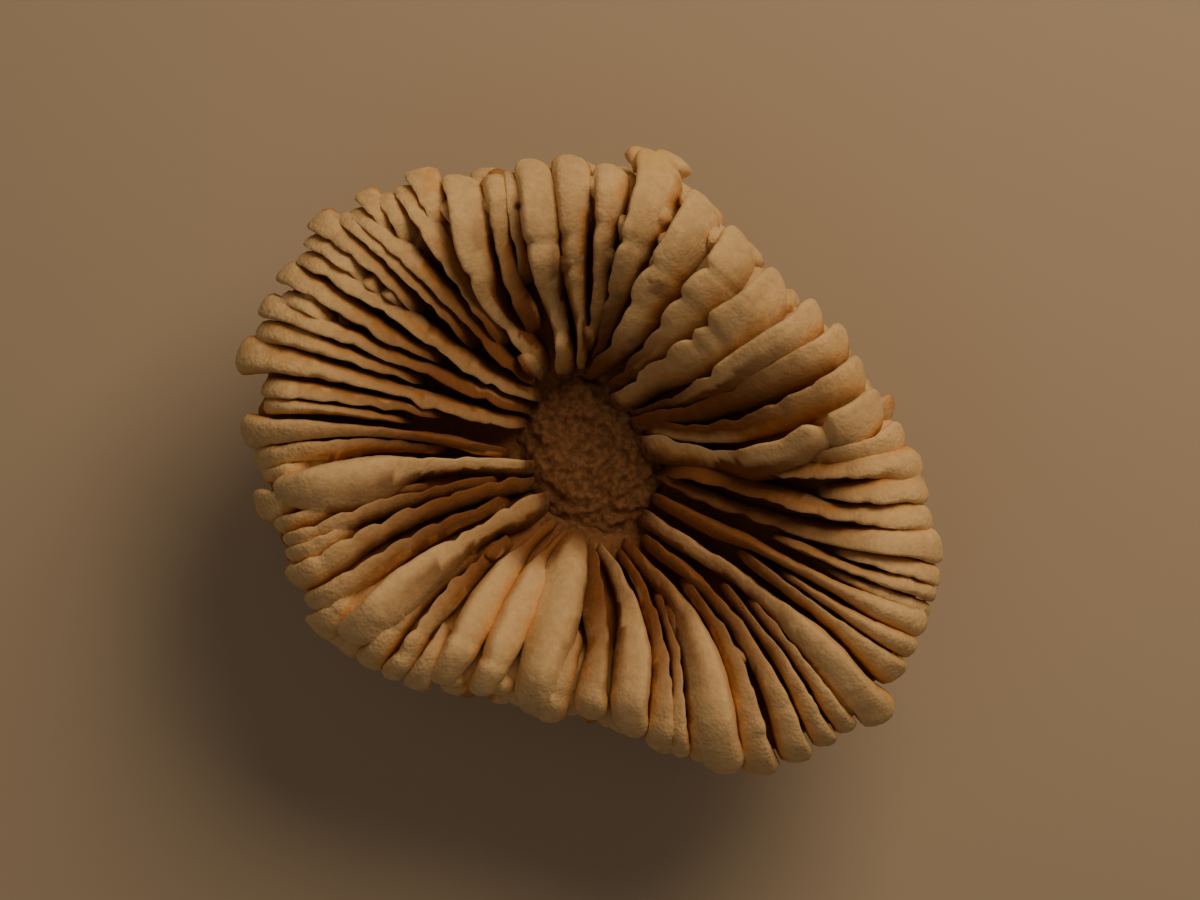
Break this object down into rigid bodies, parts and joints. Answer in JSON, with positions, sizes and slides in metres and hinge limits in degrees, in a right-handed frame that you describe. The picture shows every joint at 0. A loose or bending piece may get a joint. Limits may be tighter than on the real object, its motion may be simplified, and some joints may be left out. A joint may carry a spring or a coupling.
{
  "type": "button coral skeleton",
  "caption": "Bleached skeleton of a solitary button coral: swollen radiating septa round a spongy centre, on a flared ribbed cup with a flat cut base.",
  "frame": {"origin": "on the flat cut base, straight below the middle of the spongy centre", "axes": "+Z up out of the calice, +X along the longest extent, +Y across it; seen from above, +X points right and +Y points up"},
  "size_m": [0.0925, 0.0822, 0.0402],
  "materials": {
    "coral": "matte, finely granular"
  },
  "bodies": {
    "root": {"coral_skeleton": "coral"}
  },
  "joints": []
}
